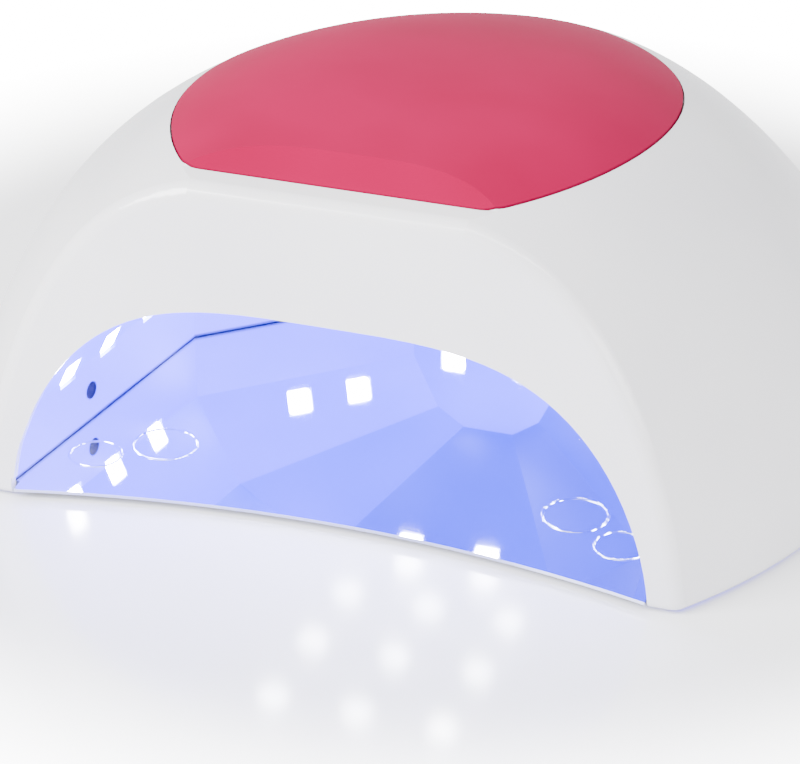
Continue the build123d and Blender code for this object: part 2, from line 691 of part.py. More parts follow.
def upper_shell():
    """The white dome: one moulded shell with its posts, ribs and panel bed."""
    outer = dome(0)
    rim = [edge for edge in outer.edges() if abs((edge @ 0.5).Z - RIM_Z) < FACE_REACH]
    outer = fillet(rim, RIM_RADIUS)
    inner = dome(WALL)
    bed = panel_prism(PANEL_GAP + PANEL_BED) & outer
    bed = bed - under_top(PANEL_SEAT + PANEL_BED)
    posts = shell_posts(dome(WALL / 2))
    shell = outer - inner + bed
    for post in posts:
        shell = shell + post
    for x, y in mirrored(LINER_SCREWS):
        shell = shell - Pos(x, y, 0) * rod(SCREW_RADIUS + SCREW_GAP, CAVITY_Z + SCREW_LENGTH + 2)
    for post in control_posts():
        shell = shell + post
    for place in control_screw_places():
        shell = shell - place * rod(SCREW_RADIUS + SCREW_GAP, CONTROL_SCREW_LENGTH)
    shell = shell - (panel_prism(PANEL_GAP) - under_top(PANEL_SEAT))
    for x, y in mirrored(PANEL_POSTS):
        pad_z = panel_pad_z(x, y)
        shell = shell + Pos(x, y, pad_z) * rod(PANEL_PAD_RADIUS, PANEL_PAD + PANEL_BED / 5)
        shell = shell - Pos(x, y, pad_z) * rod(SCREW_RADIUS + SCREW_GAP, 2 * PANEL_BED)
        recess = rod(PANEL_POST_RADIUS + PANEL_POST_GAP, 2 * WALL)
        shell = shell - Pos(x, y, pad_z + PANEL_SCREW_WALL) * recess
    for side in (-1, 1):
        rib_x = side * (JACK_BODY[0] / 2 + JACK_GAP + JACK_RIB / 2)
        rib = plate(JACK_RIB, JACK_RIB_WIDE, JACK_RIB_LONG)
        shell = shell + back_plane(rib_x, JACK_ROW, -BACK_WALL / 2 - JACK_RIB_LONG) * rib
    shell = shell - arch_prism(4 * WALL)
    for cut in back_openings():
        shell = shell - cut
    return shell


def control_screw_places():
    """Planes on the inner side of the control board, one for each screw."""
    depth = -BACK_WALL - CONTROL_BOARD_DEPTH - CONTROL_BOARD[2]
    return [
        back_plane(x, y + CONTROL_BOARD_ROW, depth)
        for x in (-CONTROL_SCREWS[0], CONTROL_SCREWS[0])
        for y in (-CONTROL_SCREWS[1], CONTROL_SCREWS[1])
    ]


def panel_pad_z(x, y):
    """Flat underside of the shell where a panel screw bears."""
    return crown_height(x, y) - PANEL_SEAT - PANEL_BED - PANEL_PAD


def top_panel():
    """The coloured panel let into the crown, with the posts that its screws go into."""
    cover = (panel_prism(0) & under_top(-PANEL_PROUD)) - under_top(PANEL_SEAT - PANEL_LIFT)
    for x, y in mirrored(PANEL_POSTS):
        foot_z = panel_pad_z(x, y) + PANEL_SCREW_WALL + PANEL_LIFT
        post = Pos(x, y, foot_z) * rod(PANEL_POST_RADIUS, crown_height(x, y) - PANEL_POST_ROOT - foot_z)
        pilot = Pos(x, y, foot_z) * rod(SCREW_RADIUS + SCREW_GAP, PANEL_SCREW_LENGTH - PANEL_SCREW_WALL)
        cover = cover + post - pilot
    return cover


# ---- Liner --------------------------------------------------------------------------------------


def flange_plan():
    """Plan of the liner's flange, which fills the shell's foot up to its back edge."""
    inset = WALL + FLANGE_GAP + wall_lean(CAVITY_Z + FLANGE_THICK)
    oval = Pos(0, DOME_CENTRE_Y) * Ellipse(DOME_HALF_WIDTH - inset, DOME_HALF_DEPTH - inset)
    back = Pos(0, FLANGE_BACK_Y) * Rectangle(CUTTER, CUTTER_DEPTH, align=(Align.CENTER, Align.MIN))
    return oval - back


def driver_screw_places():
    """Middle of each driver board screw, in plan."""
    return [
        (x, DRIVER_Y + y)
        for x in (-DRIVER_SCREWS[0], DRIVER_SCREWS[0])
        for y in (-DRIVER_SCREWS[1], DRIVER_SCREWS[1])
    ]


def reflector_liner():
    """The faceted reflector: thin walls, a flange with bosses, board seats and lamp windows."""
    skin = cavity_space(LINER_WALL)
    skin = skin + extrude(Pos(0, 0, CAVITY_Z) * flange_plan(), FLANGE_THICK)
    for x, y in mirrored(LINER_SCREWS) + mirrored(MAGNETS):
        skin = skin + Pos(x, y, CAVITY_Z) * rod(BOSS_RADIUS, BOSS_HEIGHT - BOSS_GAP)
    for x, y in driver_screw_places():
        skin = skin + Pos(x, y, DRIVER_Z - DRIVER_POST) * rod(POST_RADIUS, DRIVER_POST)
    skin = skin - cavity_space(0) - ahead_of_front(WALL + LINER_GAP)
    for x, y in driver_screw_places():
        skin = skin - Pos(x, y, DRIVER_Z - DRIVER_PILOT) * rod(SCREW_RADIUS + SCREW_GAP, DRIVER_PILOT)
    for x, y in mirrored(LINER_SCREWS):
        skin = skin - Pos(x, y, CAVITY_Z) * rod(SCREW_RADIUS + SCREW_GAP, BOSS_HEIGHT)
        skin = skin - Pos(x, y, CAVITY_Z) * rod(SCREW_HEAD_RADIUS + SCREW_GAP, HEAD_DEPTH)
    for x, y in mirrored(MAGNETS):
        skin = skin - Pos(x, y, CAVITY_Z) * rod(MAGNET_RADIUS - MAGNET_LIP, MAGNET_SKIN)
        pocket = rod(MAGNET_RADIUS + MAGNET_GAP, MAGNET_THICK + MAGNET_GAP)
        skin = skin - Pos(x, y, CAVITY_Z + MAGNET_SKIN) * pocket
    for name, plane, middle, size, places in lamp_groups():
        skin = skin - board_seat(plane, middle, size)
        for window in lamp_windows(plane, places):
            skin = skin - window
        for u, v in board_screw_places(middle, size):
            pilot = rod(SCREW_RADIUS + SCREW_GAP, LINER_WALL - BOARD_SCREW_SKIN)
            skin = skin - plane * Pos(u, v, -LINER_WALL) * pilot
    for plane in sensor_planes():
        skin = skin - plane * Pos(0, 0, -2 * LINER_WALL) * rod(SENSOR_RADIUS + SENSOR_GAP, 4 * LINER_WALL)
    return skin


def sensor_planes():
    """Upright lower walls of the cavity, at the height of the hand sensor."""
    planes = []
    for side in (-1, 1):
        a, b, c = corner_at(0, 0, side), corner_at(0, 1, side), corner_at(1, 0, side)
        planes.append(facet_plane(a, b, c, (a[0], SENSOR_Y, SENSOR_Z)))
    return planes


# ---- Small parts --------------------------------------------------------------------------------


def screw(length):
    """Pan-head self-tapping screw at its core size: the head lies below the origin, the shank runs up."""
    head = Pos(0, 0, -SCREW_HEAD) * rod(SCREW_HEAD_RADIUS, SCREW_HEAD)
    head = fillet(head.edges().sort_by(Axis.Z)[0], SCREW_HEAD / 3)
    for turn in (0, 90):
        slot = plate(SCREW_HEAD_RADIUS, SCREW_SLOT, SCREW_HEAD / 2)
        head = head - Pos(0, 0, -SCREW_HEAD) * Rot(0, 0, turn) * slot
    return head + rod(SCREW_RADIUS, length)


def liner_screws():
    return [Pos(x, y, CAVITY_Z + HEAD_DEPTH) * screw(SCREW_LENGTH) for x, y in mirrored(LINER_SCREWS)]


def panel_screws():
    return [Pos(x, y, panel_pad_z(x, y)) * screw(PANEL_SCREW_LENGTH) for x, y in mirrored(PANEL_POSTS)]


def driver_screws():
    top = DRIVER_Z + DRIVER_BOARD[2]
    return [Pos(x, y, top) * Rot(180, 0, 0) * screw(DRIVER_SCREW_LENGTH) for x, y in driver_screw_places()]


def control_screws():
    return [place * screw(CONTROL_SCREW_LENGTH - SCREW_TIP_GAP) for place in control_screw_places()]


def plate_magnets():
    disc = rod(MAGNET_RADIUS, MAGNET_THICK)
    return [Pos(x, y, CAVITY_Z + MAGNET_SKIN) * disc for x, y in mirrored(MAGNETS)]


def hand_sensor(plane):
    """Dark round infrared lens, flush with the cavity wall, on a flanged body behind it."""
    lens = plane * Pos(0, 0, -SENSOR_LENGTH) * rod(SENSOR_RADIUS, SENSOR_LENGTH)
    behind = SENSOR_LENGTH - LINER_WALL - SENSOR_GAP
    body = plane * Pos(0, 0, -SENSOR_LENGTH) * rod(SENSOR_BODY_RADIUS, behind)
    return lens + body


def driver_board():
    board = Pos(0, DRIVER_Y, DRIVER_Z) * plate(*DRIVER_BOARD)
    for x, y in driver_screw_places():
        board = board - Pos(x, y, DRIVER_Z) * rod(SCREW_RADIUS + SCREW_GAP, DRIVER_BOARD[2])
    return board


def on_driver(x, y):
    """A place on the driver board's upper side."""
    return Pos(x, DRIVER_Y + y, DRIVER_Z + DRIVER_BOARD[2])


def driver_chips():
    return [on_driver(x, y) * plate(*DRIVER_CHIP) for x, y in DRIVER_CHIPS]


def driver_inductors():
    """Drum cores: two flanges on a narrower middle."""
    middle = INDUCTOR_TALL - 2 * INDUCTOR_FLANGE
    groove = rod(INDUCTOR_RADIUS + 1, middle) - rod(INDUCTOR_CORE_RADIUS, middle)
    drum = rod(INDUCTOR_RADIUS, INDUCTOR_TALL) - Pos(0, 0, INDUCTOR_FLANGE) * groove
    return [on_driver(x, y) * drum for x, y in INDUCTORS]


def driver_capacitors():
    can = rod(CAPACITOR_RADIUS, CAPACITOR_TALL)
    can = fillet(can.edges().sort_by(Axis.Z)[-1], CAPACITOR_CROWN)
    return [on_driver(x, y) * can for x, y in CAPACITORS]


def buzzer():
    can = rod(BUZZER_RADIUS, BUZZER_TALL)
    hole = Pos(0, 0, BUZZER_TALL - BUZZER_HOLE_DEPTH) * rod(BUZZER_HOLE_RADIUS, BUZZER_HOLE_DEPTH)
    return on_driver(*BUZZER_PLACE) * (can - hole)


def driver_sockets():
    """White wire sockets along the driver board's edges."""
    return [on_driver(x, y) * Rot(0, 0, turn) * plate(*SOCKET) for x, y, turn in SOCKETS]


def roof_header():
    """Pin header between the roof lamp board and the driver board above it."""
    low = front_roof_plane() * Pos(0, 0, -(LINER_WALL + BOARD_GAP + BOARD_THICK))
    base_z = low.position.Z + HEADER_LIFT
    return Pos(0, DRIVER_Y, base_z) * plate(*HEADER, DRIVER_Z - base_z)


def control_board():
    depth = -BACK_WALL - CONTROL_BOARD_DEPTH - CONTROL_BOARD[2]
    board = back_plane(0, CONTROL_BOARD_ROW, depth) * plate(*CONTROL_BOARD)
    for place in control_screw_places():
        board = board - place * rod(SCREW_RADIUS + SCREW_GAP, CONTROL_BOARD[2])
    return board


def control_chips():
    """Two chips and a crystal, as x, y, width, height and thickness on the board's inner side."""
    depth = -BACK_WALL - CONTROL_BOARD_DEPTH - CONTROL_BOARD[2]
    chips = []
    for x, y, wide, tall, high in CONTROL_CHIPS:
        chips.append(back_plane(x, y, depth - high) * plate(wide, tall, high))
    return chips


def control_socket():
    depth = -BACK_WALL - CONTROL_BOARD_DEPTH - CONTROL_BOARD[2]
    return back_plane(0, CONTROL_SOCKET_ROW, depth - CONTROL_SOCKET[2]) * plate(*CONTROL_SOCKET)


def display_module():
    """The digit display, standing on the control board just behind its window."""
    depth = -BACK_WALL - CONTROL_BOARD_DEPTH
    wide = WINDOW_WIDE - 2 * WINDOW_LEDGE - 2 * DISPLAY_GAP
    tall = WINDOW_TALL - 2 * WINDOW_LEDGE - 2 * DISPLAY_GAP
    return back_plane(0, WINDOW_ROW, depth) * plate(wide, tall, -depth - WINDOW_THICK - DISPLAY_GAP)


def display_window():
    """Smoked pane in the ledge round the display's hole."""
    pane = plate(WINDOW_WIDE - 2 * WINDOW_FIT, WINDOW_TALL - 2 * WINDOW_FIT, WINDOW_THICK - WINDOW_FIT)
    pane = fillet(pane.edges().filter_by(Axis.Z), WINDOW_CORNER)
    return back_plane(0, WINDOW_ROW, WINDOW_FIT / 2 - WINDOW_THICK) * pane


def timer_button(x, y):
    """Round cap with a hidden flange that keeps it in, and a stem down to its switch."""
    flange_top = -BACK_WALL - BUTTON_FLOAT
    flange_low = flange_top - BUTTON_FLANGE_THICK
    stem_low = -BACK_WALL - CONTROL_BOARD_DEPTH + SWITCH_TALL + BUTTON_TRAVEL + STEM_GAP
    cap = Pos(0, 0, flange_low) * rod(BUTTON_RADIUS, BUTTON_PROUD - flange_low)
    cap = fillet(cap.edges().sort_by(Axis.Z)[-1], BUTTON_CROWN)
    flange = Pos(0, 0, flange_low) * rod(BUTTON_RADIUS + BUTTON_FLANGE, BUTTON_FLANGE_THICK)
    stem = Pos(0, 0, stem_low) * rod(BUTTON_STEM_RADIUS, flange_low - stem_low + SLIVER)
    return back_plane(x, y) * (cap + flange + stem)


def tact_switches():
    """One push switch on the control board under each button."""
    depth = -BACK_WALL - CONTROL_BOARD_DEPTH
    body = plate(SWITCH_SIDE, SWITCH_SIDE, SWITCH_BODY) + rod(SWITCH_PLUNGER_RADIUS, SWITCH_TALL)
    return [back_plane(x, y, depth) * body for x, y in button_places()]


def dc_jack():
    """Barrel inlet: its body stands behind the wall and its nose fills the hole."""
    body = Pos(0, 0, -JACK_BODY[2]) * plate(*JACK_BODY)
    nose = rod(JACK_NOSE_RADIUS, BACK_WALL - JACK_GAP)
    bore = Pos(0, 0, -JACK_BORE_DEPTH) * rod(JACK_BORE_RADIUS, JACK_BORE_DEPTH + 2 * WALL)
    return back_plane(0, JACK_ROW, -BACK_WALL - JACK_GAP) * (body + nose - bore)


def jack_pin():
    """Centre contact of the inlet, standing on the floor of its bore."""
    pin = rod(JACK_PIN_RADIUS, JACK_PIN_LENGTH)
    pin = fillet(pin.edges().sort_by(Axis.Z)[-1], JACK_PIN_CROWN)
    return back_plane(0, JACK_ROW, -BACK_WALL - JACK_GAP - JACK_BORE_DEPTH) * pin


def lead(*points, radius=LEAD_RADIUS):
    """A wire bundle along straight runs joined by arcs."""
    runs = [(Vector(*b) - Vector(*a)).length for a, b in zip(points, points[1:])]
    bends = []
    for i in range(1, len(points) - 1):
        into = Vector(*points[i]) - Vector(*points[i - 1])
        out = Vector(*points[i + 1]) - Vector(*points[i])
        turn = math.radians(into.get_angle(out))
        bends.append(LEAD_BEND * min(runs[i - 1], runs[i]) / math.tan(turn / 2))
    path = FilletPolyline(*points, radius=bends)
    start = Plane(origin=path @ 0, z_dir=path % 0)
    return sweep(start * Circle(radius), path=path)


def side_lead(side):
    """From the driver board out over the eave and down to the side lamp board."""
    board = side_plane(side) * Pos(0, 0, -(LINER_WALL + BOARD_GAP + BOARD_THICK))
    end = board.position
    return lead(
        (side * 35, DRIVER_Y, DRIVER_Z + 4),
        (side * 52, DRIVER_Y, DRIVER_Z + 4),
        (side * 70, DRIVER_Y - 1, DRIVER_Z - 12),
        (side * 83, DRIVER_Y - 2, end.Z + 12),
        (end.X + side * 1.0, end.Y, end.Z + 1.5),
    )


def corner_lead(side):
    """From the driver board back over the roof and down to the corner lamp board."""
    board = rear_corner_plane(side) * Pos(0, 0, -(LINER_WALL + BOARD_GAP + BOARD_THICK))
    end = board.position
    return lead(
        (side * 22, DRIVER_Y + 22, DRIVER_Z + 4),
        (side * 28, DRIVER_Y + 40, DRIVER_Z + 3),
        (end.X + side * 2, end.Y + 6, DRIVER_Z - 12),
        (end.X + side * 6, end.Y + 7, end.Z + 8),
        (end.X + side * 0.8, end.Y + 0.8, end.Z + 0.6),
    )


def rear_lead():
    """From the driver board to the back lamp board."""
    return lead(
        (8, DRIVER_Y + 22, DRIVER_Z + 4),
        (8, DRIVER_Y + 50, DRIVER_Z + 2),
        (6, CAVITY_DEPTHS[2] + 8, DRIVER_Z - 20),
        (5, CAVITY_DEPTHS[2] + 9, BACK_LAMP_Z + 12),
        (4, CAVITY_DEPTHS[2] + 4.6, BACK_LAMP_Z + 2),
    )


def control_lead():
    """Bundle from the driver board to the control board behind the buttons."""
    depth = BACK_WALL + CONTROL_BOARD_DEPTH + CONTROL_BOARD[2] + CONTROL_SOCKET[2] + LEAD_GAP
    end = back_plane(0, CONTROL_SOCKET_ROW, -depth).position
    return lead(
        (-8, DRIVER_Y + 22, DRIVER_Z + 4),
        (-8, DRIVER_Y + 55, DRIVER_Z + 3),
        (-5, DRIVER_Y + 90, DRIVER_Z - 4),
        (0, end.Y - 8, end.Z - 4),
        (0, end.Y, end.Z),
        radius=CONTROL_LEAD_RADIUS,
    )


def power_lead():
    """From the inlet up to the driver board."""
    end = back_plane(0, JACK_ROW, -BACK_WALL - 1.0 - JACK_BODY[2]).position
    return lead(
        (end.X, end.Y, end.Z),
        (end.X, end.Y - 10, end.Z - 1),
        (20, CAVITY_DEPTHS[2] + 18, end.Z + 14),
        (24, CAVITY_DEPTHS[2], DRIVER_Z - 14),
        (16, DRIVER_Y + 48, DRIVER_Z + 4),
        (14, DRIVER_Y + 20, DRIVER_Z + 6.5),
        radius=POWER_LEAD_RADIUS,
    )


def make_parts():
    save(upper_shell(), "upper_shell")
    save(top_panel(), "top_panel")
    save(reflector_liner(), "reflector_liner")
    save(mirror_plate(), "mirror_plate")
    save(base_tray(), "base_tray")
    save(base_feet(), "base_feet")
    save(plate_magnets(), "plate_magnets")
    for name, plane, middle, size, places in lamp_groups():
        save(lamp_board(plane, middle, size), f"{name}_lamp_board")
        save(lamps(plane, places), f"{name}_lamps")
    save(board_screws(), "lamp_board_screws")
    for plane, name in zip(sensor_planes(), ("sensor_emitter", "sensor_receiver")):
        save(hand_sensor(plane), name)
    save(driver_board(), "driver_board")
    save(driver_chips(), "driver_chips")
    save(driver_inductors(), "driver_inductors")
    save(driver_capacitors(), "driver_capacitors")
    save(driver_sockets(), "driver_sockets")
    save(buzzer(), "buzzer")
    save(roof_header(), "roof_header")
    save(driver_screws(), "driver_screws")
    save(control_board(), "control_board")
    save(control_chips(), "control_chips")
    save(control_socket(), "control_socket")
    save(control_screws(), "control_screws")
    save(tact_switches(), "tact_switches")
    save(display_module(), "display_module")
    save(display_window(), "display_window")
    for number, (x, y) in enumerate(button_places(), 1):
        save(timer_button(x, y), f"timer_button_{number}")
    save(dc_jack(), "dc_jack")
    save(jack_pin(), "jack_pin")
    save(side_lead(-1), "lead_left_side")
    save(side_lead(1), "lead_right_side")
    save(corner_lead(-1), "lead_left_corner")
    save(corner_lead(1), "lead_right_corner")
    save(rear_lead(), "lead_back")
    save(control_lead(), "lead_control")
    save(power_lead(), "lead_power")
    save(liner_screws(), "liner_screws")
    save(panel_screws(), "panel_screws")


make_parts()
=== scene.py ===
import json
import math

import bmesh
import bpy
from mathutils import Matrix, Vector


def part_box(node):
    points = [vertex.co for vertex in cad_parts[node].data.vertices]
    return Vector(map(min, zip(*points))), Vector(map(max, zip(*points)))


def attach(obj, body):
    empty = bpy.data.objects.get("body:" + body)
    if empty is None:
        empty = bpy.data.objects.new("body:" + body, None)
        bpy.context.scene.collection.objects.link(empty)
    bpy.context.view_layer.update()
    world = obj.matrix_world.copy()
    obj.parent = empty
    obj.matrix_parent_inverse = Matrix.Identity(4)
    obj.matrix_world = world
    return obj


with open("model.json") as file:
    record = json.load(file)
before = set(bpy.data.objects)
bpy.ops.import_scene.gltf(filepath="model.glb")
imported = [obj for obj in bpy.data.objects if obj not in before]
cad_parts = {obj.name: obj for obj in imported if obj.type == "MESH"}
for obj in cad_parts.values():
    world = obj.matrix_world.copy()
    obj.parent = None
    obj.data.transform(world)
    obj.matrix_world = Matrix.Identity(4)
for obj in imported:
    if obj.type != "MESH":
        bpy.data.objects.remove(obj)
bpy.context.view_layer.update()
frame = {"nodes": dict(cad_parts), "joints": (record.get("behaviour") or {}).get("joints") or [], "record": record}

MM = 0.001               # scene units are metres
LIT_SIDE = (0.75, -0.35, 0.55)   # facets that face this way get the most painted glow in the cavity
CLOUD_SHARE = 0.5                # how much the painted glow drifts along one facet
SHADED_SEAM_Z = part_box("reflector_liner")[0][2] + 0.3 * MM   # painted shade: the painted glow dims where the liner meets the plate
SHADED_SEAM_TALL = 0.5 * MM
SHADED_SEAM_GLOW = 0.08                 # share of the painted glow left in the painted shade at the seam


ROOM_LIGHT = 1.5
BACKDROP = 18.0          # radiance that shows as plain white
FADE_START = 0.15        # from the lamp's middle, where the table starts to fade to white
FADE_END = 0.27
FLOOR_REACH = 4.0

VIEW_AZIMUTH = 19.2      # degrees round from the front, towards the right
VIEW_ELEVATION = 28.0
VIEW_DISTANCE = 0.770
VIEW_AIM = (9.2, -70.1, 31.5)    # millimetres, on the front face above the arch's foot
VIEW_LENS = 148.5
SENSOR_WIDTH = 36.0
CLIP_START = 0.01


# ---- Small helpers ------------------------------------------------------------------------------


def linear(code, alpha=1.0):
    """An sRGB hex colour as linear RGBA."""
    levels = [int(code[i:i + 2], 16) / 255 for i in (1, 3, 5)]
    return tuple(v / 12.92 if v <= 0.04045 else ((v + 0.055) / 1.055) ** 2.4 for v in levels) + (alpha,)


def per_mm(size):
    """Texture scale whose features measure size millimetres in object coordinates."""
    return 1.0 / (size * MM)


def node(tree, kind, settings=None, links=None):
    """Adds one node, sets its inputs, properties or colour stops, and links inputs to outputs."""
    made = tree.nodes.new(kind)
    for key, value in (settings or {}).items():
        if key == "stops":
            for element, (position, colour) in zip(made.color_ramp.elements, value):
                element.position, element.color = position, colour
        elif isinstance(key, int) or key in made.inputs:
            made.inputs[key].default_value = value
        else:
            setattr(made, key, value)
    for key, source in (links or {}).items():
        tree.links.new(source, made.inputs[key])
    return made


def surface(name, **settings):
    """A new material with one Principled shader, and its tree, shader and object coordinates."""
    made = bpy.data.materials.new(name)
    made.use_nodes = True
    tree = made.node_tree
    shader = tree.nodes["Principled BSDF"]
    for key, value in settings.items():
        shader.inputs[key.replace("_", " ")].default_value = value
    place = node(tree, "ShaderNodeTexCoord").outputs["Object"]
    return made, tree, shader, place


def stops(dark, light, start=0.35, end=0.65):
    """Two colour stops of a ramp, from hex tones."""
    return ((start, linear(dark)), (end, linear(light)))


# ---- Materials: plastics ------------------------------------------------------------------------


def pearl_white_abs():
    """Polished ABS with a little pearl: a clear gloss over a soft body, with faint orange peel."""
    made, tree, shader, place = surface(
        "pearl_white_abs", Roughness=0.24, IOR=1.53, Coat_Weight=0.55, Coat_Roughness=0.06,
        Subsurface_Weight=0.04, Subsurface_Scale=0.002)
    cloud = node(tree, "ShaderNodeTexNoise", {"Scale": per_mm(60), "Detail": 2.0}, {"Vector": place})
    tone = node(tree, "ShaderNodeValToRGB", {"stops": stops("#EAE9EF", "#F3F2F6")},
                {"Fac": cloud.outputs["Fac"]})
    tree.links.new(tone.outputs["Color"], shader.inputs["Base Color"])
    peel = node(tree, "ShaderNodeTexNoise", {"Scale": per_mm(2.5), "Detail": 1.0}, {"Vector": place})
    bump = node(tree, "ShaderNodeBump", {"Strength": 0.015, "Distance": 0.05 * MM},
                {"Height": peel.outputs["Fac"]})
    tree.links.new(bump.outputs["Normal"], shader.inputs["Normal"])
    return made


def satin_pink_abs():
    """ABS from a spark-eroded mould: even satin sheen with a very fine grain."""
    made, tree, shader, place = surface(
        "satin_pink_abs", Roughness=0.5, IOR=1.45, Specular_IOR_Level=0.04)
    cloud = node(tree, "ShaderNodeTexNoise", {"Scale": per_mm(45), "Detail": 2.0}, {"Vector": place})
    tone = node(tree, "ShaderNodeValToRGB", {"stops": stops("#94003A", "#9C0040")},
                {"Fac": cloud.outputs["Fac"]})
    tree.links.new(tone.outputs["Color"], shader.inputs["Base Color"])
    # the real grain is 0.1 mm and is drawn at 0.5 mm so that it shows
    grain = node(tree, "ShaderNodeTexVoronoi", {"Scale": per_mm(0.5)}, {"Vector": place})
    bump = node(tree, "ShaderNodeBump", {"Strength": 0.05, "Distance": 0.03 * MM},
                {"Height": grain.outputs["Distance"]})
    tree.links.new(bump.outputs["Normal"], shader.inputs["Normal"])
    return made


def moulded_plastic(name, dark, light, roughness, grain=0.6):
    """Matt moulded plastic: two near tones and a fine tooth from the mould."""
    made, tree, shader, place = surface(name, Roughness=roughness, IOR=1.5)
    cloud = node(tree, "ShaderNodeTexNoise", {"Scale": per_mm(12), "Detail": 3.0}, {"Vector": place})
    tone = node(tree, "ShaderNodeValToRGB", {"stops": stops(dark, light)},
                {"Fac": cloud.outputs["Fac"]})
    tree.links.new(tone.outputs["Color"], shader.inputs["Base Color"])
    tooth = node(tree, "ShaderNodeTexNoise", {"Scale": per_mm(grain), "Detail": 2.0}, {"Vector": place})
    bump = node(tree, "ShaderNodeBump", {"Strength": 0.15, "Distance": 0.03 * MM},
                {"Height": tooth.outputs["Fac"]})
    tree.links.new(bump.outputs["Normal"], shader.inputs["Normal"])
    return made


# ---- Materials: lit parts -----------------------------------------------------------------------


def metallised_reflector_painted_glow():
    """Vacuum-metallised moulding with a painted violet-blue glow standing in for the lamps' light: facets that
    face the lamps get more painted glow, and painted shade darkens its foot along the plate.
    """
    made, tree, shader, place = surface("metallised_reflector_painted_glow", Roughness=0.35, Metallic=0.3)
    shader.inputs["Base Color"].default_value = linear("#23287A")
    # painted glow: emission stands in for the lamps' light, strongest on facets turned to the lit side
    facing = node(tree, "ShaderNodeNewGeometry").outputs["Normal"]
    share = node(tree, "ShaderNodeVectorMath", {"operation": "DOT_PRODUCT"}, {0: facing})
    share.inputs[1].default_value = LIT_SIDE
    cloud = node(tree, "ShaderNodeTexNoise", {"Scale": per_mm(45), "Detail": 1.0}, {"Vector": place})
    lit = node(tree, "ShaderNodeMath", {"operation": "MULTIPLY_ADD", 1: CLOUD_SHARE},
               {0: cloud.outputs["Fac"], 2: share.outputs["Value"]})
    glow = node(tree, "ShaderNodeMapRange", {
        "interpolation_type": "SMOOTHSTEP", "From Min": -0.5, "From Max": 1.0, "To Min": 2.4, "To Max": 8.5},
        {"Value": lit.outputs["Value"]})
    # painted shade at the seam: the glow fades out towards the liner's foot
    height = node(tree, "ShaderNodeSeparateXYZ", links={"Vector": place}).outputs["Z"]
    shade = node(tree, "ShaderNodeMapRange", {
        "From Min": SHADED_SEAM_Z, "From Max": SHADED_SEAM_Z + SHADED_SEAM_TALL,
        "To Min": SHADED_SEAM_GLOW, "To Max": 1.0}, {"Value": height})
    strength = node(tree, "ShaderNodeMath", {"operation": "MULTIPLY"},
                    {0: glow.outputs["Result"], 1: shade.outputs["Result"]})
    tree.links.new(strength.outputs["Value"], shader.inputs["Emission Strength"])
    # colour of the painted glow, a deeper blue on the dimmer facets
    tone = node(tree, "ShaderNodeValToRGB", {"stops": stops("#0E04FF", "#4A30FF", 0.1, 0.9)},
                {"Fac": lit.outputs["Value"]})
    tree.links.new(tone.outputs["Color"], shader.inputs["Emission Color"])
    return made


def mirror_steel():
    """Mirror-polished stainless sheet: long faint ripples from the polishing wheel."""
    made, tree, shader, place = surface("mirror_steel", Roughness=0.03, Metallic=1.0)
    ripple = node(tree, "ShaderNodeTexNoise", {"Scale": per_mm(30), "Detail": 1.0}, {"Vector": place})
    tone = node(tree, "ShaderNodeValToRGB", {"stops": stops("#D5D9EA", "#DDE0EE")},
                {"Fac": ripple.outputs["Fac"]})
    tree.links.new(tone.outputs["Color"], shader.inputs["Base Color"])
    bump = node(tree, "ShaderNodeBump", {"Strength": 0.02, "Distance": 0.1 * MM},
                {"Height": ripple.outputs["Fac"]})
    tree.links.new(bump.outputs["Normal"], shader.inputs["Normal"])
    return made


def lit_lens():
    """Silicone lens over a lit lamp bead: almost white, clouded with a little violet."""
    made, tree, shader, place = surface("lit_lens", Roughness=0.2, Emission_Strength=170.0)
    shader.inputs["Base Color"].default_value = linear("#F4F5FF")
    speck = node(tree, "ShaderNodeTexNoise", {"Scale": per_mm(3)}, {"Vector": place})
    tone = node(tree, "ShaderNodeValToRGB", {"stops": stops("#DDE2FF", "#FFFFFF", 0.3, 0.5)},
                {"Fac": speck.outputs["Fac"]})
    tree.links.new(tone.outputs["Color"], shader.inputs["Emission Color"])
    return made


def plated_metal(name, dark, light, roughness, brushed):
    """Bright plated metal: fine marks of the tool that formed it, and a little unevenness of tone."""
    made, tree, shader, place = surface(name, Roughness=roughness, Metallic=1.0)
    cloud = node(tree, "ShaderNodeTexNoise", {"Scale": per_mm(3), "Detail": 3.0}, {"Vector": place})
    tone = node(tree, "ShaderNodeValToRGB", {"stops": stops(dark, light)},
                {"Fac": cloud.outputs["Fac"]})
    tree.links.new(tone.outputs["Color"], shader.inputs["Base Color"])
    marks = node(tree, "ShaderNodeTexNoise", {"Scale": per_mm(brushed), "Detail": 2.0}, {"Vector": place})
    bump = node(tree, "ShaderNodeBump", {"Strength": 0.2, "Distance": 0.02 * MM},
                {"Height": marks.outputs["Fac"]})
    tree.links.new(bump.outputs["Normal"], shader.inputs["Normal"])
    return made


def circuit_board(name, mask, track):
    """Printed board under solder mask: squared lines a shade lighter stand for its copper tracks."""
    made, tree, shader, place = surface(name, Roughness=0.32, IOR=1.5)
    cells = node(tree, "ShaderNodeTexVoronoi", {"Scale": per_mm(4), "distance": "CHEBYCHEV"},
                 {"Vector": place})
    tone = node(tree, "ShaderNodeValToRGB", {"stops": stops(mask, track, 0.42, 0.45)},
                {"Fac": cells.outputs["Distance"]})
    tree.links.new(tone.outputs["Color"], shader.inputs["Base Color"])
    bump = node(tree, "ShaderNodeBump", {"Strength": 0.3, "Distance": 0.03 * MM},
                {"Height": cells.outputs["Distance"]})
    tree.links.new(bump.outputs["Normal"], shader.inputs["Normal"])
    return made


